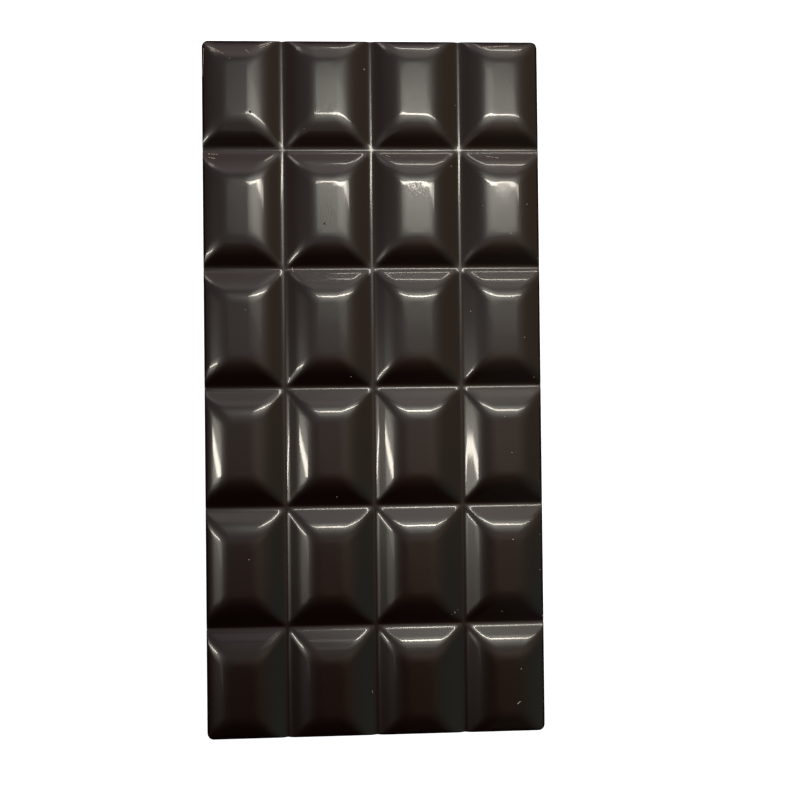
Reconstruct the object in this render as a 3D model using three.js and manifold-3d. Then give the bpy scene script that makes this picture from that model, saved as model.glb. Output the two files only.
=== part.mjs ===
// A moulded chocolate bar of break-off pieces, lying on its flat back.
// X runs across the bar, Y along it, and Z up out of the moulded face. The origin is the middle of the back.
// Lengths are in millimetres and angles in degrees.

import * as THREE from 'three';
import Module from 'manifold-3d';

const columns = 4;
const rows = 6;
const pitch = { x: 19.7, y: 26.5 }; // from one groove to the next

// The bar's side walls lean inward from the back, so that it slips out of its mould.
const back = { x: 76.0, y: 155.7 }; // outline of the flat back
const backCornerRadius = 1.9;
const wallDraft = 4.2;
const cornerSteps = 6;

// A rounded rim joins the side walls to the outer flanks. The grooves cut through it.
const rimRadius = 2;
const rimCentre = 4.76; // height of the rim's centre line above the back
const rimSteps = 4;
const rimTangent = 4; // how far in from the walls the rim's tangent runs, well clear of the pillows

// Every piece is a low pillow: its flank rises out of a rounded groove, straight at first, and then
// bends over in a long arc to a flat top.
const grooveHeight = 5.23; // from the back to the bottom of a groove
const flankAngle = 27.6;
const grooveBends = [ // from the groove's bottom outward; each bend ends at an angle
	{ radius: 1.5, endAngle: 12, steps: 1 },
	{ radius: 2.8, endAngle: flankAngle, steps: 2 },
];
const flankRun = 1.28; // straight stretch of the flank, seen from above
const crownRadius = 12;
const crownSteps = 5;

// Two flanks meet at a rounded hip, which grows softer towards the top.
const hipRadiusAtGroove = 0.9;
const hipRadiusAtTop = 1.9;
const hipSteps = 3;

// The pillows are made as a block that is larger than the bar on every side, and the walls cut it.
const blockFloor = - 2;

const chocolate = new THREE.MeshStandardMaterial({ color: 0x1c110c, roughness: 0.22, metalness: 0 });

// Collects triangles with shared corners; a triangle that has shrunk to a line is left out.
class Surface {
	constructor() {
		this.places = [];
		this.faces = [];
		this.known = new Map();
	}

	corner( point ) {
		const key = point.toArray().map( ( value ) => value.toFixed( 4 ) ).join();
		if ( ! this.known.has( key ) ) {
			this.known.set( key, this.places.length / 3 );
			this.places.push( ...point.toArray() );
		}
		return this.known.get( key );
	}

	triangle( a, b, c ) {
		const [ i, j, k ] = [ a, b, c ].map( ( point ) => this.corner( point ) );
		if ( i !== j && j !== k && k !== i ) this.faces.push( i, j, k );
	}

	quad( a, b, c, d ) {
		this.triangle( a, b, c );
		this.triangle( a, c, d );
	}

	// Joins two closed loops with the same number of points, the upper one above or inside the lower one.
	band( lower, upper ) {
		lower.forEach( ( point, i ) => {
			const next = ( i + 1 ) % lower.length;
			this.quad( point, lower[ next ], upper[ next ], upper[ i ] );
		} );
	}

	// Closes a loop with a fan of triangles round its middle.
	cap( loop, facesUp ) {
		const middle = new THREE.Vector3();
		loop.forEach( ( point ) => middle.addScaledVector( point, 1 / loop.length ) );
		loop.forEach( ( point, i ) => {
			const next = loop[ ( i + 1 ) % loop.length ];
			if ( facesUp ) this.triangle( middle, point, next );
			else this.triangle( middle, next, point );
		} );
	}

	solid( wasm ) {
		return new wasm.Manifold( new wasm.Mesh( {
			numProp: 3,
			vertProperties: new Float32Array( this.places ),
			triVerts: new Uint32Array( this.faces ),
		} ) );
	}
}

// A rounded rectangle at one height, anticlockwise from its corner at +X +Y.
function roundedRectangle( centre, halfX, halfY, radius, height, steps ) {
	const loop = [];
	for ( let quarter = 0; quarter < 4; quarter ++ ) {
		const sideX = quarter === 0 || quarter === 3 ? 1 : - 1;
		const sideY = quarter < 2 ? 1 : - 1;
		for ( let step = 0; step <= steps; step ++ ) {
			const turn = ( quarter + step / steps ) * Math.PI / 2;
			loop.push( new THREE.Vector3(
				centre.x + sideX * ( halfX - radius ) + radius * Math.cos( turn ),
				centre.y + sideY * ( halfY - radius ) + radius * Math.sin( turn ),
				height,
			) );
		}
	}
	return loop;
}

// The flank's cross-section, from the groove's centre line to the flat top: how far in, and how high.
function flankSection() {
	const section = [ { inset: 0, height: grooveHeight } ];
	const lean = THREE.MathUtils.degToRad( flankAngle );

	// Adds an arc that starts at the section's end and turns from one slope to another.
	const addArc = ( radius, from, to, steps ) => {
		const start = section.at( - 1 );
		for ( let step = 1; step <= steps; step ++ ) {
			const angle = THREE.MathUtils.lerp( from, to, step / steps );
			section.push( {
				inset: start.inset + radius * Math.abs( Math.sin( angle ) - Math.sin( from ) ),
				height: start.height + radius * Math.abs( Math.cos( angle ) - Math.cos( from ) ),
			} );
		}
	};

	let angle = 0;
	for ( const bend of grooveBends ) {
		const endAngle = THREE.MathUtils.degToRad( bend.endAngle );
		addArc( bend.radius, angle, endAngle, bend.steps );
		angle = endAngle;
	}
	const foot = section.at( - 1 );
	section.push( { inset: foot.inset + flankRun, height: foot.height + flankRun * Math.tan( lean ) } );
	addArc( crownRadius, lean, 0, crownSteps );
	return section;
}

// One pillow's top surface, as a stack of ever smaller outlines.
// The lowest has sharp corners, where the grooves cross.
function addPillow( surface, centre, section ) {
	const topInset = section.at( - 1 ).inset;
	const outlines = section.map( ( { inset, height } ) => {
		const hipRadius = THREE.MathUtils.lerp( hipRadiusAtGroove, hipRadiusAtTop, inset / topInset );
		const radius = inset === 0 ? 0 : hipRadius;
		return roundedRectangle( centre, pitch.x / 2 - inset, pitch.y / 2 - inset, radius, height, hipSteps );
	} );
	for ( let i = 1; i < outlines.length; i ++ ) surface.band( outlines[ i - 1 ], outlines[ i ] );
	surface.cap( outlines.at( - 1 ), true );
}

// All the pillows on one block, which ends at the outermost groove lines.
function pillowBlock( wasm ) {
	const surface = new Surface();
	const section = flankSection();
	const place = ( column, row, height ) => new THREE.Vector3(
		( column - columns / 2 ) * pitch.x,
		( row - rows / 2 ) * pitch.y,
		height,
	);
	const top = ( column, row ) => place( column, row, grooveHeight );
	const floor = ( column, row ) => place( column, row, blockFloor );
	const side = ( from, to ) => surface.quad( floor( ...from ), floor( ...to ), top( ...to ), top( ...from ) );

	for ( let column = 0; column < columns; column ++ ) {
		const right = column + 1;
		side( [ column, 0 ], [ right, 0 ] );
		side( [ right, rows ], [ column, rows ] );
		for ( let row = 0; row < rows; row ++ ) {
			const far = row + 1;
			addPillow( surface, place( column + 0.5, row + 0.5, 0 ), section );
			surface.quad( floor( column, row ), floor( column, far ), floor( right, far ), floor( right, row ) );
		}
	}
	for ( let row = 0; row < rows; row ++ ) {
		side( [ 0, row + 1 ], [ 0, row ] );
		side( [ columns, row ], [ columns, row + 1 ] );
	}
	return surface.solid( wasm );
}

// The space inside the bar's back, side walls and rounded rim. Further in it rises above every pillow.
function wallBlock( wasm ) {
	const surface = new Surface();
	const draft = THREE.MathUtils.degToRad( wallDraft );
	const lean = THREE.MathUtils.degToRad( flankAngle );
	const middle = new THREE.Vector2();
	const outline = ( inset, height ) => {
		const radius = Math.max( backCornerRadius - inset, 0 );
		return roundedRectangle( middle, back.x / 2 - inset, back.y / 2 - inset, radius, height, cornerSteps );
	};

	const base = outline( 0, 0 );
	surface.cap( base, false );
	const wallTop = rimCentre + rimRadius * Math.sin( draft );
	const wallInset = wallTop * Math.tan( draft );
	let previous = base;
	const addOutline = ( inset, height ) => {
		const next = outline( inset, height );
		surface.band( previous, next );
		previous = next;
	};
	for ( let step = 0; step <= rimSteps; step ++ ) {
		const slope = THREE.MathUtils.lerp( Math.PI / 2 - draft, lean, step / rimSteps );
		const inset = wallInset + rimRadius * ( Math.cos( draft ) - Math.sin( slope ) );
		addOutline( inset, rimCentre + rimRadius * Math.cos( slope ) );
	}
	const touch = wallInset + rimRadius * ( Math.cos( draft ) - Math.sin( lean ) );
	const touchHeight = rimCentre + rimRadius * Math.cos( lean );
	addOutline( touch + rimTangent, touchHeight + rimTangent * Math.tan( lean ) );
	surface.cap( previous, true );
	return surface.solid( wasm );
}

function chocolateBar( wasm ) {
	const { vertProperties, triVerts } = pillowBlock( wasm ).intersect( wallBlock( wasm ) ).getMesh();
	const geometry = new THREE.BufferGeometry();
	geometry.setAttribute( 'position', new THREE.BufferAttribute( vertProperties, 3 ) );
	geometry.setIndex( new THREE.BufferAttribute( triVerts, 1 ) );
	geometry.computeVertexNormals();
	const mesh = new THREE.Mesh( geometry, chocolate );
	mesh.name = 'chocolate_bar';
	return mesh;
}

const wasm = await Module();
wasm.setup();

const bar = new THREE.Group();
bar.add( chocolateBar( wasm ) );

export default bar;
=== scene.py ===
"""A glossy dark chocolate bar, seen from above on a plain pale floor.

The bar is one moulded piece: low pillows between narrow grooves, on a flat back. X runs across it, Y along it
and Z up. Sizes are in millimetres, as in the CAD model, and MM turns them into Blender's metres.
"""

import math

import bmesh
import bpy
import numpy as np
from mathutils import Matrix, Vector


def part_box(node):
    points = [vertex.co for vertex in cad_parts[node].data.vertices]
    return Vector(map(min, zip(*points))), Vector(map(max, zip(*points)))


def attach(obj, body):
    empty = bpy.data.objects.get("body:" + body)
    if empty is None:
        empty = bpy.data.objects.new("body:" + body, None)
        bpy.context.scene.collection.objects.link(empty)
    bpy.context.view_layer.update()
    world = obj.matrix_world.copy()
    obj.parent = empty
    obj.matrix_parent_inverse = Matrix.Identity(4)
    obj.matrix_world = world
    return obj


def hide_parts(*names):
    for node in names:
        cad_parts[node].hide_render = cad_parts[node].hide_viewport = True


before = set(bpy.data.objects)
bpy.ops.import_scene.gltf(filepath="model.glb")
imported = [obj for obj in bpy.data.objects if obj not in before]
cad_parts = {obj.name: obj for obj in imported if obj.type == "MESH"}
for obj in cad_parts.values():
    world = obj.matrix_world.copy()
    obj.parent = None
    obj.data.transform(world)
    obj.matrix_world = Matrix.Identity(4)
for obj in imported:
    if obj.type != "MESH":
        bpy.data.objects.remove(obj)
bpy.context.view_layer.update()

MM = 0.001
NODE = "chocolate_bar"

# ----------------------------------------------------------------------------------------------------
# The bar's driving sizes
# ----------------------------------------------------------------------------------------------------
COLUMNS, ROWS = 4, 6
PITCH_X, PITCH_Y = 19.7, 26.5  # from one groove to the next
GROOVE_HEIGHT = 5.227  # from the back to the bottom of a groove
WALL_DRAFT = math.radians(4.2)
BACK_CORNER_RADIUS = 1.9

# A pillow's flank rises out of a rounded groove, whose bend opens out towards the flank: the slope in
# degrees where each stretch of the bend ends, and its radius. The flank is straight at first, and bends over
# in an arc to a flat top.
GROOVE_BENDS = [(4, 1.1), (8, 1.5), (13, 1.8), (23, 2.8), (27.6, 5.0)]
FLANK_ANGLE = math.radians(GROOVE_BENDS[-1][0])
CROWN_RADIUS = 12.0
SHOULDER = 2.31  # from the groove's centre line to where the crown's arc begins
PLATEAU = SHOULDER + CROWN_RADIUS * math.sin(FLANK_ANGLE)

# The width over which two flanks blend at a hip: narrow at the groove, widest part way up.
HIP_WIDTH_AT_GROOVE = 0.65
HIP_WIDTH = 2.15
HIP_WIDEST_INSET = 4.55

# The side walls lean in and end in a rounded rim. The outer flanks run into it, and the grooves cut through.
RIM_RADIUS = 2.0
RIM_CENTRE = 4.76  # height above the back
WALL_TOP = RIM_CENTRE + RIM_RADIUS * math.sin(WALL_DRAFT)
WALL_LEAN = math.tan(WALL_DRAFT)
# From the back's edge to the rim's outline, which the rim's arc would touch if it went on until upright.
# It is negative, because the walls lean in.
RIM_OFFSET = RIM_RADIUS * (1 - math.cos(WALL_DRAFT)) - WALL_TOP * WALL_LEAN
RIM_BLEND = 0.1  # width over which a flank and the rim blend
GROOVE_END_BLEND = 0.35  # the same at a groove's end
GROOVE_END_REACH = 0.8  # from a groove's centre line to where the blend is the rim's again
BLEND_END = 2.0  # from the rim's outline to where nothing blends; the blend fades over the last millimetre
LOWER_EDGE = 0.25  # size of the bend between the walls and the back

# The mould's grooves sit a little to the left of the middle between the side walls.
GROOVE_SHIFT = -0.08

# How far the surface wanders from the ideal form, as a set face shrinks a little unevenly.
WANDER = 0.008
WANDER_WAVES = 14
WANDER_LENGTHS = (9, 30)

# The bar's mesh: its steps from one change of form to the next.
GROOVE_FOOT = 1.2  # from a groove's centre line to where the close mesh lines of its bottom end
GROOVE_STEPS = 7
FLANK_STEPS = 3
CROWN_STEPS = 12
CORNER_STEPS = 4
RIM_STEPS = 11
WALL_STEPS = 3
LOWER_EDGE_STEPS = 4
FACE_END = 1.2  # from the rim's outline to where the grid of the face ends
BACK_INSET = 0.97  # size of the back's grid, over that of the face
BACK_KEEP = 4  # the back has one in so many of the face's mesh lines
NORMAL_REACH = 0.01  # to either side of a point, where its slope is taken from

# Marks of handling, in a pale colour that is partly painted highlight, standing in for glints. Places are (x,
# y) on the face, and a scuff runs from one place to another.
TOP_HEIGHT = 7.5  # of the flat tops, about
SCRATCHED_SPOTS = [(9.9, 62.8), (-9.9, 61.5), (9.9, 43.6), (-9.9, 38.5)]
PITS = [(-26.6, 60.8), (-10.5, 36.1)]
SPECKS = [
    (-31.1, 72.6), (-1.5, 71.0), (-14.9, 57.3), (30.2, 68.0), (18.9, 63.1), (17.8, 49.2),
    (34.5, 40.4), (24.6, 40.1), (30.7, 33.9), (37.1, 28.5), (21.8, 16.7), (33.6, 10.7),
    (35.9, 1.8), (-28.1, 17.3), (-5.1, 2.4), (28.9, -6.8), (30.4, -14.8), (-8.5, -24.2),
    (-27.8, -37.3), (30.4, -34.0), (28.0, -50.3), (17.5, -50.4), (18.2, -49.9), (16.8, -50.9),
    (31.9, -62.7), (36.8, -33.4), (36.6, -41.2), (37.3, -51.7),
]
SPECK_LENGTHS = (0.2, 0.36)
SPECK_WIDTH = 0.7  # over its length
SCUFFS = [
    ((-1.1, -67.4), (-1.0, -68.1)),
    ((30.9, -70.4), (31.6, -69.9)),
    ((-35.9, 75.6), (-32.4, 73.7)),
    ((-24.6, 75.1), (-22.3, 76.3)),
    ((-27.7, 74.8), (-26.7, 73.8)),
    ((-36.9, 75.4), (-37.3, 69.3)),
    ((3.2, 51.8), (4.1, 51.3)),
    ((25.7, 51.6), (28.6, 51.0)),
    ((-18.0, 27.0), (-17.7, 25.7)),
    ((25.1, 75.6), (31.0, 76.0)),
    ((-36.3, 52.1), (-34.2, 52.0)),
    ((-36.3, 51.3), (-34.6, 50.9)),
]
SCUFF_SPACING = 0.5  # between the flakes of a scuff
SCUFF_PLACES = (0.3, 0.7)  # of a flake, within its share of the scuff
SCUFF_FLAKE_LENGTHS = (0.4, 0.7)
SCUFF_FLAKE_WIDTH = 0.15
FLAKE_POINTS = 14
FLAKE_THICKNESS = 0.5  # over its width
FLAKE_UNEVENNESS = (0.8, 1.2)


# ----------------------------------------------------------------------------------------------------
# The bar's form
# ----------------------------------------------------------------------------------------------------
def flank_height(inset):
    """Height above the groove's bottom, at a distance from the groove's centre line."""
    height = np.zeros_like(inset)
    start, slope = 0.0, 0.0
    for end_slope, radius in GROOVE_BENDS:
        end_slope = math.radians(end_slope)
        reach = radius * (math.sin(end_slope) - math.sin(slope))
        along = radius * math.sin(slope) + np.clip(inset - start, 0, reach)
        height += radius * math.cos(slope) - np.sqrt(radius**2 - along**2)
        start, slope = start + reach, end_slope
    straight = np.clip(inset - start, 0, SHOULDER - start) * math.tan(FLANK_ANGLE)
    to_plateau = np.clip(PLATEAU - inset, 0, PLATEAU - SHOULDER)
    crown = np.sqrt(CROWN_RADIUS**2 - to_plateau**2) - CROWN_RADIUS * math.cos(FLANK_ANGLE)
    return height + straight + crown


def blended_inset(inset_x, inset_y):
    """One distance from the grooves, out of those from the two nearest, rounded off along the hips."""
    mean = np.minimum((inset_x + inset_y) / 2, PLATEAU)
    width = HIP_WIDTH - (HIP_WIDTH - HIP_WIDTH_AT_GROOVE) * (1 - mean / HIP_WIDEST_INSET) ** 2
    overlap = np.maximum(width - abs(inset_x - inset_y), 0) / width
    return np.minimum(inset_x, inset_y) - width * overlap**2 / 4


def wander(x, y):
    """A smooth unevenness of about a hundredth of a millimetre."""
    draw = np.random.default_rng(4)
    total = np.zeros_like(x)
    for _ in range(WANDER_WAVES):
        length = draw.uniform(*WANDER_LENGTHS)
        heading, phase = draw.uniform(0, 2 * math.pi, 2)
        total += np.sin(2 * math.pi * (x * math.cos(heading) + y * math.sin(heading)) / length + phase)
    return WANDER * total / math.sqrt(WANDER_WAVES)


def smooth_minimum(a, b, width):
    """The smaller of two heights, with the crease between them rounded off."""
    return (a + b - np.hypot(a - b, width)) / 2


def groove_distance(along, pitch):
    """Distance to the nearest groove line, where a groove runs through the bar's middle."""
    offset = np.mod(along, pitch)
    return np.minimum(offset, pitch - offset)


def rim_outline():
    """The rim's outline, as half its two sizes and its corner radius."""
    low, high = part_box(NODE)
    half_x = (high[0] - low[0]) / 2 / MM + RIM_OFFSET
    half_y = (high[1] - low[1]) / 2 / MM + RIM_OFFSET
    return half_x, half_y, BACK_CORNER_RADIUS + RIM_OFFSET


def edge_distance(x, y, half_x, half_y, radius):
    """Distance in from the edge of a rounded rectangle."""
    from_x, from_y = half_x - abs(x), half_y - abs(y)
    from_corner = radius - np.hypot(radius - from_x, radius - from_y)
    at_corner = (from_x < radius) & (from_y < radius)
    return np.where(at_corner, from_corner, np.minimum(from_x, from_y))


def rim_height(from_edge):
    """Height of the rounded rim above the back, and further in of the slope that touches it."""
    touch = RIM_RADIUS * (1 - math.sin(FLANK_ANGLE))
    on_arc = RIM_RADIUS - np.clip(from_edge, 0, touch)
    arc = RIM_CENTRE + np.sqrt(RIM_RADIUS**2 - on_arc**2)
    return arc + np.maximum(from_edge - touch, 0) * math.tan(FLANK_ANGLE)


def face_height(x, y, outline):
    """Height of the moulded face above the back, inside the rim's outline."""
    inset = blended_inset(groove_distance(x - GROOVE_SHIFT, PITCH_X), groove_distance(y, PITCH_Y))
    pillows = GROOVE_HEIGHT + flank_height(inset) + wander(x, y)
    in_groove = np.clip(1 - inset / GROOVE_END_REACH, 0, 1)
    blend = RIM_BLEND + (GROOVE_END_BLEND - RIM_BLEND) * in_groove
    from_edge = edge_distance(x, y, *outline)
    return smooth_minimum(pillows, rim_height(from_edge), blend * np.clip(BLEND_END - from_edge, 0, 1))


def face_normals(x, y, outline):
    """Directions square to the face, from the slope between points close by on either side."""
    reach = NORMAL_REACH
    slope_x = (face_height(x + reach, y, outline) - face_height(x - reach, y, outline)) / (2 * reach)
    slope_y = (face_height(x, y + reach, outline) - face_height(x, y - reach, outline)) / (2 * reach)
    normals = np.stack([-slope_x, -slope_y, np.ones_like(x)], -1)
    return normals / np.linalg.norm(normals, axis=-1, keepdims=True)


# ----------------------------------------------------------------------------------------------------
# The bar's mesh
# ----------------------------------------------------------------------------------------------------
def piece_insets(half_pitch):
    """Insets of the mesh lines over half a piece, close together where the surface bends most."""
    groove_lines = np.linspace(0, GROOVE_FOOT, GROOVE_STEPS + 1)
    flank_lines = np.linspace(GROOVE_FOOT, SHOULDER, FLANK_STEPS + 1)
    crown_lines = np.linspace(SHOULDER, PLATEAU, CROWN_STEPS + 1)
    top_steps = round(half_pitch - PLATEAU)
    top_lines = np.linspace(PLATEAU, half_pitch, top_steps + 1)
    return np.concatenate([groove_lines, flank_lines[1:], crown_lines[1:], top_lines[1:]])


def mesh_lines(pieces, pitch, shift, half_size, corner):
    """Positions of the mesh lines across the whole face, with a few more inside the rounded corners."""
    insets = piece_insets(pitch / 2)
    one_piece = np.concatenate([insets[:-1], pitch - insets[:0:-1]])
    lines = shift + np.concatenate([one_piece + pitch * (piece - pieces / 2) for piece in range(pieces)])
    clearance = 0.15
    inner = lines[abs(lines) < half_size - corner - clearance]
    rim = half_size - np.linspace(corner, 0, CORNER_STEPS + 1)
    return np.concatenate([-rim[::-1], inner, rim])


def round_corners(x, y, half_x, half_y, radius):
    """Draws the corners of a rectangular grid in to rounded ones."""
    past_x = abs(x) - (half_x - radius)
    past_y = abs(y) - (half_y - radius)
    at_corner = (past_x > 0) & (past_y > 0)
    scale = np.ones_like(x)
    scale[at_corner] = np.maximum(past_x, past_y)[at_corner] / np.hypot(past_x, past_y)[at_corner]
    new_x = np.where(at_corner, np.sign(x) * (half_x - radius + past_x * scale), x)
    new_y = np.where(at_corner, np.sign(y) * (half_y - radius + past_y * scale), y)
    return new_x, new_y


def outward(x, y, half_x, half_y, radius):
    """Outward direction, in plan, at points on a rounded rectangle's edge."""
    past_x = np.maximum(abs(x) - (half_x - radius), 0)
    past_y = np.maximum(abs(y) - (half_y - radius), 0)
    past = np.stack([past_x, past_y], 1)
    past /= np.linalg.norm(past, axis=1, keepdims=True)
    return past * np.sign(np.stack([x, y], 1))


def border(index):
    """A grid's border vertices, anticlockwise from its lowest corner, out of the grid's rows of indices."""
    return np.concatenate([index[0, :-1], index[:-1, -1], index[-1, :0:-1], index[:0:-1, 0]])


def grid_faces(index, facing_down=False):
    """The four-cornered faces of a grid, out of its rows of indices."""
    corners = [index[:-1, :-1], index[:-1, 1:], index[1:, 1:], index[1:, :-1]]
    if facing_down:
        corners = [corners[0], *corners[:0:-1]]
    return np.stack(corners, -1).reshape(-1, 4).tolist()


def ring_faces(inner, outer):
    """The faces between two rows of points round the bar."""
    return np.stack([inner, outer, np.roll(outer, -1), np.roll(inner, -1)], 1).tolist()


def bezier(start, corner, end, steps):
    """Rows of points on a smooth bend from start to end, without its first row."""
    rows = []
    for step in range(1, steps + 1):
        s = step / steps
        rows.append((1 - s) ** 2 * start + 2 * s * (1 - s) * corner + s**2 * end)
    return rows


def face_points(outline, grid_outline):
    """The face's vertices, in rows of a grid whose corners are drawn in."""
    half_x, half_y, corner = grid_outline
    lines_x = mesh_lines(COLUMNS, PITCH_X, GROOVE_SHIFT, half_x, corner)
    lines_y = mesh_lines(ROWS, PITCH_Y, 0, half_y, corner)
    grid_x, grid_y = np.meshgrid(lines_x, lines_y)
    x, y = round_corners(grid_x, grid_y, half_x, half_y, corner)
    return np.stack([x, y, face_height(x, y, outline)], -1)


def wall_row(face_border, normal, height):
    """Points on the side walls at one height, each straight out from a point of the face's border."""
    reach = FACE_END - RIM_OFFSET - height * WALL_LEAN
    return np.column_stack([face_border[:, :2] + normal * reach, np.full(len(face_border), height)])


def side_rows(face_border, outline, grid_outline):
    """Rows of points that follow the face's border out and down: the rim, the walls and the lower edge."""
    normal = outward(face_border[:, 0], face_border[:, 1], *grid_outline)
    rows = []
    first_angle = math.asin(1 - FACE_END / RIM_RADIUS)
    for angle in np.linspace(first_angle, math.pi / 2 - WALL_DRAFT, RIM_STEPS + 1)[1:]:
        from_edge = RIM_RADIUS * (1 - math.sin(angle))
        place = face_border[:, :2] + normal * (FACE_END - from_edge)
        rows.append(np.column_stack([place, face_height(place[:, 0], place[:, 1], outline)]))
    for height in np.linspace(WALL_TOP, LOWER_EDGE, WALL_STEPS + 1)[1:]:
        rows.append(wall_row(face_border, normal, height))
    foot = wall_row(face_border, normal, 0)
    under = foot - np.column_stack([normal, np.zeros(len(face_border))]) * LOWER_EDGE
    return rows + bezier(rows[-1], foot, under, LOWER_EDGE_STEPS)


def coarse_lines(count):
    """The mesh lines that the back keeps: one in a few, and the last."""
    return sorted({*range(0, count, BACK_KEEP), count - 1})


def back_grid(face, face_index, last_row, first):
    """The back: a coarser grid inside the last row round the bar, joined to it by faces with more corners."""
    kept = np.ix_(coarse_lines(face.shape[0]), coarse_lines(face.shape[1]))
    points = face[kept] * (BACK_INSET, BACK_INSET, 0)
    rows, columns = points.shape[:2]
    index = first + np.arange(rows * columns).reshape(rows, columns)
    faces = grid_faces(index, facing_down=True)

    count = len(last_row)
    place_in_row = {vertex: place for place, vertex in enumerate(border(face_index))}
    places = [place_in_row[vertex] for vertex in border(face_index[kept])] + [count]
    back_border = border(index)
    for here, there, start, end in zip(back_border, np.roll(back_border, -1), places, places[1:]):
        outer = [int(last_row[place % count]) for place in range(start, end + 1)]
        faces.append([*outer[::-1], int(here), int(there)])
    return points.reshape(-1, 3), faces


def bar_mesh():
    """The bar: its face, then the rows round its sides, then its back."""
    outline = rim_outline()
    grid_outline = [size - FACE_END for size in outline]
    face = face_points(outline, grid_outline)
    face_index = np.arange(face[..., 0].size).reshape(face.shape[:2])
    faces = grid_faces(face_index)

    row = border(face_index)
    points = [face.reshape(-1, 3)]
    first = face_index.size
    for next_points in side_rows(points[0][row], outline, grid_outline):
        next_row = first + np.arange(len(row))
        faces += ring_faces(row, next_row)
        points.append(next_points)
        row = next_row
        first += len(row)

    back_points, back_faces = back_grid(face, face_index, row, first)
    points.append(back_points)
    faces += back_faces

    mesh = bpy.data.meshes.new("bar")
    mesh.from_pydata((np.concatenate(points) * MM).tolist(), [], faces)
    mesh.polygons.foreach_set("use_smooth", [True] * len(mesh.polygons))
    mesh.validate()
    mesh.update()

    # On the face, the shading follows the form itself and not the mesh's small facets.
    normals = np.array([corner_normal.vector for corner_normal in mesh.vertex_normals])
    normals[:face_index.size] = face_normals(face[..., 0].ravel(), face[..., 1].ravel(), outline)
    mesh.normals_split_custom_set_from_vertices(normals.tolist())
    return mesh


# ----------------------------------------------------------------------------------------------------
# The marks' meshes
# ----------------------------------------------------------------------------------------------------
def add_flake(flakes, draw, place, length, width, heading, outline):
    """Adds one small crumb, half sunk in the face: the hull of a few points on a flattened ball."""
    x, y = place
    height = face_height(np.array([x]), np.array([y]), outline)[0]
    points = draw.normal(size=(FLAKE_POINTS, 3))
    points /= np.linalg.norm(points, axis=1, keepdims=True)
    sizes = np.array([length, width, FLAKE_THICKNESS * width])
    points *= sizes / 2 * draw.uniform(*FLAKE_UNEVENNESS, (FLAKE_POINTS, 1))
    cos, sin = math.cos(heading), math.sin(heading)
    new = []
    for along, across, up in points:
        corner = (x + along * cos - across * sin, y + along * sin + across * cos, height + up)
        new.append(flakes.verts.new([value * MM for value in corner]))
    hull = bmesh.ops.convex_hull(flakes, input=new)
    left_over = hull["geom_interior"] + hull["geom_unused"]
    inside = {item for item in left_over if isinstance(item, bmesh.types.BMVert)}
    bmesh.ops.delete(flakes, geom=list(inside), context="VERTS")


def finish_flakes(flakes, name):
    """Turns the flakes into a mesh of their own."""
    mesh = bpy.data.meshes.new(name)
    flakes.to_mesh(mesh)
    flakes.free()
    return mesh


def speck_mesh(outline):
    """One flake at each speck's place, turned any way."""
    flakes = bmesh.new()
    draw = np.random.default_rng(7)
    for place in SPECKS:
        length = draw.uniform(*SPECK_LENGTHS)
        add_flake(flakes, draw, place, length, SPECK_WIDTH * length, draw.uniform(0, math.pi), outline)
    return finish_flakes(flakes, "specks")


def scuff_mesh(outline):
    """A row of thin flakes along each scuff."""
    flakes = bmesh.new()
    draw = np.random.default_rng(8)
    for start, end in SCUFFS:
        start, end = np.array(start), np.array(end)
        run = np.linalg.norm(end - start)
        heading = math.atan2(*(end - start)[::-1])
        steps = max(round(run / SCUFF_SPACING), 2)
        for step in range(steps):
            place = start + (end - start) * (step + draw.uniform(*SCUFF_PLACES)) / steps
            length = draw.uniform(*SCUFF_FLAKE_LENGTHS)
            add_flake(flakes, draw, place, length, SCUFF_FLAKE_WIDTH, heading, outline)
    return finish_flakes(flakes, "scuffs")


# ----------------------------------------------------------------------------------------------------
# Nodes of the materials and the room
# ----------------------------------------------------------------------------------------------------
def new_material(name):
    """A material with one Principled shader: the material, its nodes, its links and the shader."""
    material = bpy.data.materials.new(name)
    material.use_nodes = True
    nodes = material.node_tree.nodes
    nodes.clear()
    output = nodes.new("ShaderNodeOutputMaterial")
    shader = nodes.new("ShaderNodeBsdfPrincipled")
    material.node_tree.links.new(shader.outputs["BSDF"], output.inputs["Surface"])
    return material, nodes, material.node_tree.links, shader


def math_node(nodes, links, operation, first, second):
    """Adds a Math node. Each of its two inputs is a number or the output of another node."""
    node = nodes.new("ShaderNodeMath")
    node.operation = operation
    for value, socket in zip((first, second), node.inputs):
        if isinstance(value, (int, float)):
            socket.default_value = value
        else:
            links.new(value, socket)
    return node.outputs["Value"]


def map_range(nodes, links, value, from_min, from_max, to_min=0.0, to_max=1.0, smooth=False):
    """Adds a Map Range node, which also clamps."""
    node = nodes.new("ShaderNodeMapRange")
    if smooth:
        node.interpolation_type = "SMOOTHSTEP"
    numbers = {"From Min": from_min, "From Max": from_max, "To Min": to_min, "To Max": to_max}
    for name, number in numbers.items():
        node.inputs[name].default_value = number
    links.new(value, node.inputs["Value"])
    return node.outputs["Result"]


def mix_colours(nodes, links, factor, first, second, blend="MIX"):
    """Adds a Mix node. The factor is the output of another node, and each colour is that or a constant."""
    node = nodes.new("ShaderNodeMix")
    node.data_type = "RGBA"
    node.blend_type = blend
    links.new(factor, node.inputs["Factor"])
    for name, colour in (("A", first), ("B", second)):
        if isinstance(colour, tuple):
            node.inputs[name].default_value = (*colour, 1)
        else:
            links.new(colour, node.inputs[name])
    return node.outputs["Result"]


def noise(nodes, links, vector, scale, detail=2):
    """Adds a Noise Texture node, whose scale is in features a metre."""
    node = nodes.new("ShaderNodeTexNoise")
    node.inputs["Scale"].default_value = scale
    node.inputs["Detail"].default_value = detail
    links.new(vector, node.inputs["Vector"])
    return node.outputs["Fac"]


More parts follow.
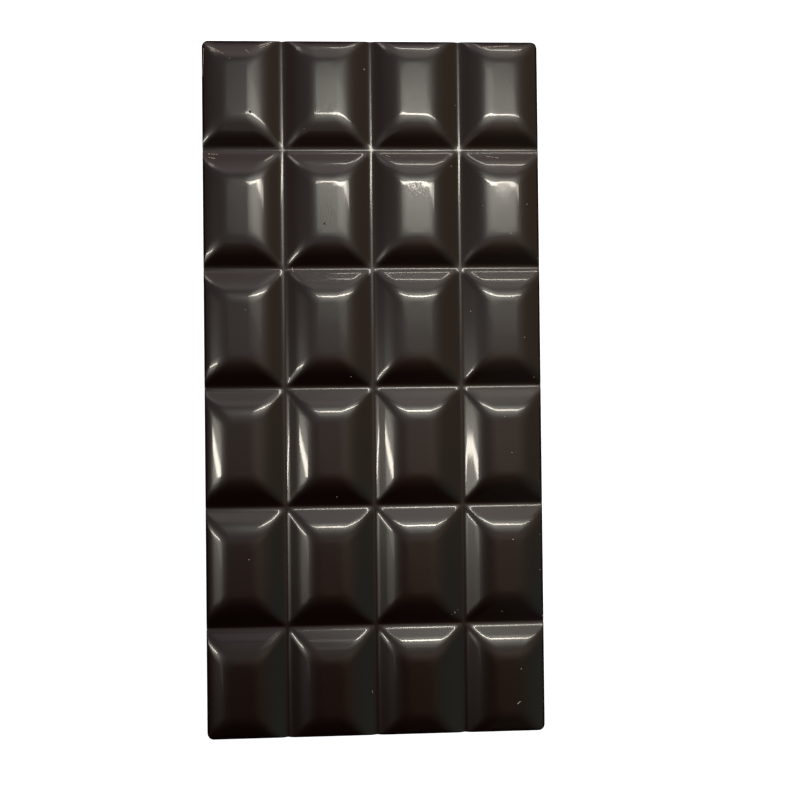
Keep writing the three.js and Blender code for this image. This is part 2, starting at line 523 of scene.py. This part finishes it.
def bump_node(nodes, links, depth, height, strength=None, normal=None):
    """Adds a Bump node, whose relief lies on top of the normal's."""
    node = nodes.new("ShaderNodeBump")
    node.inputs["Distance"].default_value = depth * MM
    for name, output in (("Height", height), ("Strength", strength), ("Normal", normal)):
        if output is not None:
            links.new(output, node.inputs[name])
    return node


# ----------------------------------------------------------------------------------------------------
# Materials
# ----------------------------------------------------------------------------------------------------
CHOCOLATE_COLOURS = ((0.0030, 0.0007, 0.0003), (0.0042, 0.0010, 0.0004))
CHOCOLATE_ROUGHNESS = (0.278, 0.30)
BLOTCH_SCALE = 60

# The flat tops have rubbed against their wrapper: fine scratches there, too small to see one by one.
RUB_SCALE = 14000
RUB_DEPTH = 0.007
RUB_PATCH_SCALE = 900
RUB_PATCH_RANGE = (0.35, 0.65)  # of the patches' noise: least rubbed, most rubbed
RUB_ON_TOPS = (0.15, 0.4)
RUB_TOP_EDGE = (-0.5, 0.3)  # in from a flat top's edge: not rubbed before, rubbed beyond
RUB_IN_GROOVES = 0.6
RUB_GROOVE_EDGE = (0.15, 0.35)  # from a lengthways groove's centre line: rubbed within, not rubbed beyond

# The scratches that show one by one run a little aslant, on and around the scratched spots.
SCRATCH_SCALE = 2600
SCRATCH_STRETCH = (1, 0.25, 1)
SCRATCH_TURN = math.radians(20)
SCRATCH_DEPTH = 0.024
SCRATCH_REACH = (1.0, 4.0)  # from a spot's middle: in full within, gone beyond
PIT_DEPTH = 0.12
PIT_REACH = (0.05, 0.3)

# Painted highlight: the cream and copper colours of the specks and scuffs partly stand in for glints on them.
CRUMB_AND_GLINT_COLOURS = ((0.40, 0.27, 0.20), (0.72, 0.66, 0.58))
CRUMB_AND_GLINT_SCALE = 90
CRUMB_AND_GLINT_RANGE = (0.4, 0.6)  # of the crumbs' and painted glints' noise: all brown, all cream
FLOOR_COLOURS = ((0.84, 0.90, 1.0), (0.82, 0.88, 0.98))
FLOOR_SCALE = 5


def rubbed_places(nodes, links, place):
    """How matt the surface is with fine scratches: on the flat tops, and in the lengthways grooves."""
    axes = nodes.new("ShaderNodeSeparateXYZ")
    links.new(place, axes.inputs["Vector"])
    across = math_node(nodes, links, "SUBTRACT", axes.outputs["X"], GROOVE_SHIFT * MM)
    inset_x = math_node(nodes, links, "PINGPONG", across, PITCH_X / 2 * MM)
    inset_y = math_node(nodes, links, "PINGPONG", axes.outputs["Y"], PITCH_Y / 2 * MM)
    inset = math_node(nodes, links, "MINIMUM", inset_x, inset_y)
    before, beyond = RUB_TOP_EDGE
    on_top = map_range(nodes, links, inset, (PLATEAU + before) * MM, (PLATEAU + beyond) * MM)
    patches = noise(nodes, links, place, RUB_PATCH_SCALE, 4)
    uneven = map_range(nodes, links, patches, *RUB_PATCH_RANGE, *RUB_ON_TOPS)
    top = math_node(nodes, links, "MULTIPLY", on_top, uneven)
    near, far = RUB_GROOVE_EDGE
    in_groove = map_range(nodes, links, inset_x, near * MM, far * MM, RUB_IN_GROOVES, 0.0)
    return math_node(nodes, links, "MAXIMUM", top, in_groove)


def nearness(nodes, links, place, spots, full, gone):
    """How near the surface is to any of some spots: 1 within the distance full, falling to 0 at gone."""
    nearest = None
    for x, y in spots:
        distance = nodes.new("ShaderNodeVectorMath")
        distance.operation = "DISTANCE"
        distance.inputs[1].default_value = (x * MM, y * MM, TOP_HEIGHT * MM)
        links.new(place, distance.inputs[0])
        value = distance.outputs["Value"]
        nearest = value if nearest is None else math_node(nodes, links, "MINIMUM", nearest, value)
    return map_range(nodes, links, nearest, full * MM, gone * MM, 1.0, 0.0)


def scratch_bump(nodes, links, place):
    """Relief of fine scratches on a few of the flat tops, and of a few small pits."""
    stretch = nodes.new("ShaderNodeMapping")
    stretch.inputs["Scale"].default_value = SCRATCH_STRETCH
    stretch.inputs["Rotation"].default_value = (0, 0, SCRATCH_TURN)
    links.new(place, stretch.inputs["Vector"])
    lines = noise(nodes, links, stretch.outputs["Vector"], SCRATCH_SCALE, 3)
    scratched = nearness(nodes, links, place, SCRATCHED_SPOTS, *SCRATCH_REACH)
    scratches = bump_node(nodes, links, SCRATCH_DEPTH, lines, strength=scratched)
    holes = nearness(nodes, links, place, PITS, *PIT_REACH)
    pits = bump_node(nodes, links, PIT_DEPTH, holes, normal=scratches.outputs["Normal"])
    pits.invert = True
    return pits.outputs["Normal"]


def chocolate_material():
    """A very dark brown, with a broad gloss under a sharp one."""
    material, nodes, links, shader = new_material("dark_chocolate")
    place = nodes.new("ShaderNodeTexCoord").outputs["Object"]
    blotches = noise(nodes, links, place, BLOTCH_SCALE, 4)
    tint = mix_colours(nodes, links, blotches, *CHOCOLATE_COLOURS)
    links.new(tint, shader.inputs["Base Color"])
    haze = map_range(nodes, links, blotches, 0.0, 1.0, *CHOCOLATE_ROUGHNESS)
    links.new(haze, shader.inputs["Roughness"])
    shader.inputs["IOR"].default_value = 1.52
    shader.inputs["Specular Tint"].default_value = (0.92, 0.96, 1.0, 1)
    shader.inputs["Coat Weight"].default_value = 1
    shader.inputs["Coat Roughness"].default_value = 0.062
    shader.inputs["Coat IOR"].default_value = 1.35

    scratches = noise(nodes, links, place, RUB_SCALE)
    rubbed = rubbed_places(nodes, links, place)
    bump = bump_node(nodes, links, RUB_DEPTH, scratches, rubbed, scratch_bump(nodes, links, place))
    links.new(bump.outputs["Normal"], shader.inputs["Normal"])
    links.new(bump.outputs["Normal"], shader.inputs["Coat Normal"])
    return material


def crumb_and_glint_material():
    """Pale dry crumbs, from cream to cocoa brown, whose pale colour is partly painted highlight: it stands in
    for glints.
    """
    material, nodes, links, shader = new_material("crumbs_and_painted_glints")
    place = nodes.new("ShaderNodeTexCoord").outputs["Object"]
    patches = map_range(nodes, links, noise(nodes, links, place, CRUMB_AND_GLINT_SCALE), *CRUMB_AND_GLINT_RANGE)
    shade = mix_colours(nodes, links, patches, *CRUMB_AND_GLINT_COLOURS)
    links.new(shade, shader.inputs["Base Color"])
    shader.inputs["Roughness"].default_value = 0.5
    return material


def floor_material():
    """A matt white that also glows, so that the floor stays white to its edges."""
    material, nodes, links, shader = new_material("pale_floor")
    place = nodes.new("ShaderNodeTexCoord").outputs["Object"]
    clouds = noise(nodes, links, place, FLOOR_SCALE)
    shade = mix_colours(nodes, links, clouds, *FLOOR_COLOURS)
    links.new(shade, shader.inputs["Base Color"])
    shader.inputs["Roughness"].default_value = 0.9
    shader.inputs["Emission Color"].default_value = (0.9, 0.95, 1.0, 1)
    shader.inputs["Emission Strength"].default_value = 0.85
    return material


# ----------------------------------------------------------------------------------------------------
# The pieces
# ----------------------------------------------------------------------------------------------------
FLOOR_HALF = 1500


def add_object(name, data):
    thing = bpy.data.objects.new(name, data)
    bpy.context.scene.collection.objects.link(thing)
    return thing


def add_bar():
    bar = add_object("moulded_bar", bar_mesh())
    bar.data.materials.append(chocolate_material())
    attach(bar, "root")
    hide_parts(NODE)


def add_marks():
    outline = rim_outline()
    material = crumb_and_glint_material()
    # The marks' pale material is partly painted highlight, standing in for glints.
    for name, mesh in (("specks_with_painted_glints", speck_mesh(outline)), ("scuffs_with_painted_glints", scuff_mesh(outline))):
        marks = add_object(name, mesh)
        marks.data.materials.append(material)
        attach(marks, "root")


def add_floor():
    half = FLOOR_HALF * MM
    corners = [(-half, -half, 0), (half, -half, 0), (half, half, 0), (-half, half, 0)]
    mesh = bpy.data.meshes.new("floor")
    mesh.from_pydata(corners, [], [(0, 1, 2, 3)])
    floor = add_object("floor", mesh)
    floor.data.materials.append(floor_material())
    floor.visible_glossy = False


# ----------------------------------------------------------------------------------------------------
# Light and camera
# ----------------------------------------------------------------------------------------------------
CAMERA_PLACE = (-4.02, 5.85, 167.65)
CAMERA_TURN = (0.470, -2.103, -0.598)  # degrees
LENS = 32.692
SENSOR_WIDTH = 36
SHIFT = (0.0220, -0.0563)
CLIP_START, CLIP_END = 10, 10000

# Tube lamps hang level above the bar, at one height. A place is given as the way across and along from the
# camera, over the rise from the groove's bottom to the lamps. Turns are in degrees.
LAMP_HEIGHT = 567.0
LAMP_RISE = LAMP_HEIGHT - GROOVE_HEIGHT
LAMP_WIDTH = 25.0
LAMP_COLOUR = (1.0, 0.93, 0.80)
TRAY_RISE = 12.0  # of the white trays behind the tubes

# The lamp above the bar shines unevenly. Its stretches: where one starts and ends across, and its radiance.
LAMP_ABOVE = [
    (-0.145, -0.07, 20),
    (-0.07, 0.08, 44),
    (0.08, 0.16, 60),
    (0.16, 0.30, 44),
    (0.30, 0.36, 33),
    (0.36, 0.40, 22),
    (0.40, 0.50, 15),
]
ABOVE_ALONG = 0.361  # straight ahead of the camera
ABOVE_SLANT = 0.0875  # way along that it loses, over the way across
ABOVE_TURN = -5

# The other lamps and the trays: name, across, along, length, width, turn and radiance.
NEARER_LIGHTS = [
    ("tray_above", 0.15, 0.43, 300, 80, -5, 1.3),
    ("tray_above_near", 0.15, 0.255, 300, 80, -5, 0.8),
    ("tray_above_nearer", 0.13, 0.123, 270, 68, -5, 0.5),
    ("lamp_left", -0.94, -0.207, 340, 27, -4, 38),
    ("tray_left", -0.94, -0.26, 340, 155, -4, 1.9),
    ("tray_left_near", -0.94, -0.52, 340, 125, -4, 0.45),
]
FAR_LEFT_LIGHT = ("lamp_far_left", -0.755, 1.13, 170, 170, 0.0, 3.8)

# The far lamp is a row of four tubes, end to end.
FAR_PLACE = (0.27, 1.597)
FAR_TURN = -28
FAR_TUBES = (-1.5, -0.5, 0.5, 1.5)
FAR_TUBE_LENGTH = 104
FAR_TUBE_WIDTH = 28
FAR_RADIANCE = 42

# A dim card at the camera's height. Its corners are given across and along from the camera.
CARD_CORNERS = [(-60, -15), (20, -15), (20, 12), (2, 18), (-60, 24)]

# The room that the gloss reflects: brightest towards the bar's far end, dark towards its near end, brown to
# the right. A level is a direction's part along the bar, from 0 for straight back to 1 for straight ahead.
ROOM = [
    (0.00, (0.02, 0.005, 0.002)),
    (0.09, (0.02, 0.005, 0.002)),
    (0.14, (0.012, 0.006, 0.004)),
    (0.22, (0.06, 0.028, 0.018)),
    (0.30, (0.11, 0.05, 0.03)),
    (0.36, (0.27, 0.17, 0.12)),
    (0.44, (0.55, 0.39, 0.32)),
    (0.50, (0.42, 0.35, 0.31)),
    (0.70, (0.38, 0.31, 0.29)),
    (0.76, (0.23, 0.195, 0.185)),
    (0.80, (1.15, 0.96, 0.90)),
    (0.84, (1.35, 1.12, 1.06)),
    (0.88, (0.86, 0.70, 0.66)),
    (1.00, (0.58, 0.45, 0.42)),
]
ROOM_RIGHT = (0.28, 0.195, 0.135)
ROOM_RIGHT_NEAR = (0.11, 0.12, 0.10)
ROOM_LEFT_TINT = (0.66, 0.56, 0.54)
# Where the room changes, as a direction's part across the bar or, for the first, along it.
NEAR_RIGHT_TO_RIGHT = (-0.3, 0.0)
MIDDLE_TO_RIGHT = (0, 0.7)
MIDDLE_TO_LEFT = (-0.4, -0.95)
DARKER_TO_BRIGHTER = (-0.17, 0.2)

# Overhead the room darkens from right to left: its tint on either side, and how strong that is at a level.
DARKER_SIDE_TINT = (0.48, 0.47, 0.50)
BRIGHTER_SIDE_TINT = (1.5, 1.53, 1.5)
ACROSS_STRENGTH = [
    (0.0, 1.0),
    (0.42, 1.0),
    (0.50, 0.6),
    (0.55, 0.45),
    (0.72, 0.5),
    (0.76, 1.0),
    (0.80, 0.75),
    (0.85, 0.45),
]
# The room fades down to the horizon: a direction's upward parts where it begins and ends, and its least.
HORIZON = (0.05, 0.32)
HORIZON_STRENGTH = 0.1


def add_lamp(name, across, along, length, width, turn, radiance):
    """Adds a lamp or, a little higher, a tray that shines back the light of its tube."""
    light = bpy.data.lights.new(name, "AREA")
    light.shape = "RECTANGLE"
    light.size = length * MM
    light.size_y = width * MM
    light.energy = radiance * math.pi * light.size * light.size_y
    light.color = LAMP_COLOUR
    thing = add_object(name, light)
    place = (CAMERA_PLACE[0] + across * LAMP_RISE, CAMERA_PLACE[1] + along * LAMP_RISE, LAMP_HEIGHT)
    thing.location = [value * MM for value in place]
    thing.rotation_euler = (0, 0, math.radians(turn))
    if name.startswith("tray"):
        thing.location.z += TRAY_RISE * MM


def add_lights():
    for start, end, radiance in LAMP_ABOVE:
        middle = (start + end) / 2
        along = ABOVE_ALONG - ABOVE_SLANT * middle
        length = (end - start) * LAMP_RISE
        add_lamp("lamp_above", middle, along, length, LAMP_WIDTH, ABOVE_TURN, radiance)
    for values in NEARER_LIGHTS:
        add_lamp(*values)
    turn = math.radians(FAR_TURN)
    for tube in FAR_TUBES:
        offset = tube * FAR_TUBE_LENGTH / LAMP_RISE
        across = FAR_PLACE[0] + offset * math.cos(turn)
        along = FAR_PLACE[1] + offset * math.sin(turn)
        add_lamp("lamp_far", across, along, FAR_TUBE_LENGTH, FAR_TUBE_WIDTH, FAR_TURN, FAR_RADIANCE)
    add_lamp(*FAR_LEFT_LIGHT)


def add_card():
    """A card that the camera doesn't see. In the gloss it dims one end of the lamp above."""
    x, y, z = CAMERA_PLACE
    places = [(x + across, y + along, z) for across, along in CARD_CORNERS]
    mesh = bpy.data.meshes.new("flag")
    mesh.from_pydata([[value * MM for value in place] for place in places], [], [(0, 1, 2, 3, 4)])
    card = add_object("flag", mesh)
    material, _, _, shader = new_material("black_card")
    shader.inputs["Base Color"].default_value = (0.01, 0.01, 0.01, 1)
    shader.inputs["Roughness"].default_value = 0.9
    shader.inputs["Emission Color"].default_value = (1.0, 0.8, 0.72, 1)
    shader.inputs["Emission Strength"].default_value = 0.4
    mesh.materials.append(material)
    card.visible_camera = False
    card.visible_diffuse = False


def colour_ramp(nodes, links, level, stops):
    """Adds a colour ramp. A stop is a position with a colour, or with one number for a grey."""
    node = nodes.new("ShaderNodeValToRGB")
    elements = node.color_ramp.elements
    while len(elements) < len(stops):
        elements.new(0.5)
    for element, (position, colour) in zip(elements, stops):
        element.position = position
        element.color = (colour, colour, colour, 1) if isinstance(colour, float) else (*colour, 1)
    links.new(level, node.inputs["Fac"])
    return node.outputs["Color"]


def room_colour(nodes, links, axes):
    """The room's light in a direction, out of its parts across and along the bar."""
    level = map_range(nodes, links, axes["Y"], -1, 1)
    middle = colour_ramp(nodes, links, level, ROOM)
    from_near = map_range(nodes, links, axes["Y"], *NEAR_RIGHT_TO_RIGHT)
    right = mix_colours(nodes, links, from_near, ROOM_RIGHT_NEAR, ROOM_RIGHT)
    to_right = map_range(nodes, links, axes["X"], *MIDDLE_TO_RIGHT, smooth=True)
    sides = mix_colours(nodes, links, to_right, middle, right)
    to_left = map_range(nodes, links, axes["X"], *MIDDLE_TO_LEFT, smooth=True)
    left = mix_colours(nodes, links, to_left, sides, ROOM_LEFT_TINT, "MULTIPLY")
    from_left = map_range(nodes, links, axes["X"], *DARKER_TO_BRIGHTER)
    tint = mix_colours(nodes, links, from_left, DARKER_SIDE_TINT, BRIGHTER_SIDE_TINT)
    strength = colour_ramp(nodes, links, level, ACROSS_STRENGTH)
    return mix_colours(nodes, links, strength, left, tint, "MULTIPLY")


def add_world():
    world = bpy.data.worlds.new("room")
    world.use_nodes = True
    nodes, links = world.node_tree.nodes, world.node_tree.links
    nodes.clear()
    output = nodes.new("ShaderNodeOutputWorld")
    background = nodes.new("ShaderNodeBackground")
    links.new(background.outputs["Background"], output.inputs["Surface"])
    direction = nodes.new("ShaderNodeTexCoord")
    axes = nodes.new("ShaderNodeSeparateXYZ")
    links.new(direction.outputs["Generated"], axes.inputs["Vector"])
    links.new(room_colour(nodes, links, axes.outputs), background.inputs["Color"])
    horizon = map_range(nodes, links, axes.outputs["Z"], *HORIZON, HORIZON_STRENGTH)
    links.new(horizon, background.inputs["Strength"])
    bpy.context.scene.world = world


def add_camera():
    data = bpy.data.cameras.new("camera")
    data.sensor_width = SENSOR_WIDTH
    data.lens = LENS
    data.shift_x, data.shift_y = SHIFT
    data.clip_start, data.clip_end = CLIP_START * MM, CLIP_END * MM
    camera = add_object("camera", data)
    camera.location = [value * MM for value in CAMERA_PLACE]
    camera.rotation_euler = [math.radians(angle) for angle in CAMERA_TURN]
    bpy.context.scene.camera = camera


bpy.context.scene.view_settings.view_transform = "Standard"
add_camera()
add_bar()
add_marks()
add_floor()
add_lights()
add_card()
add_world()
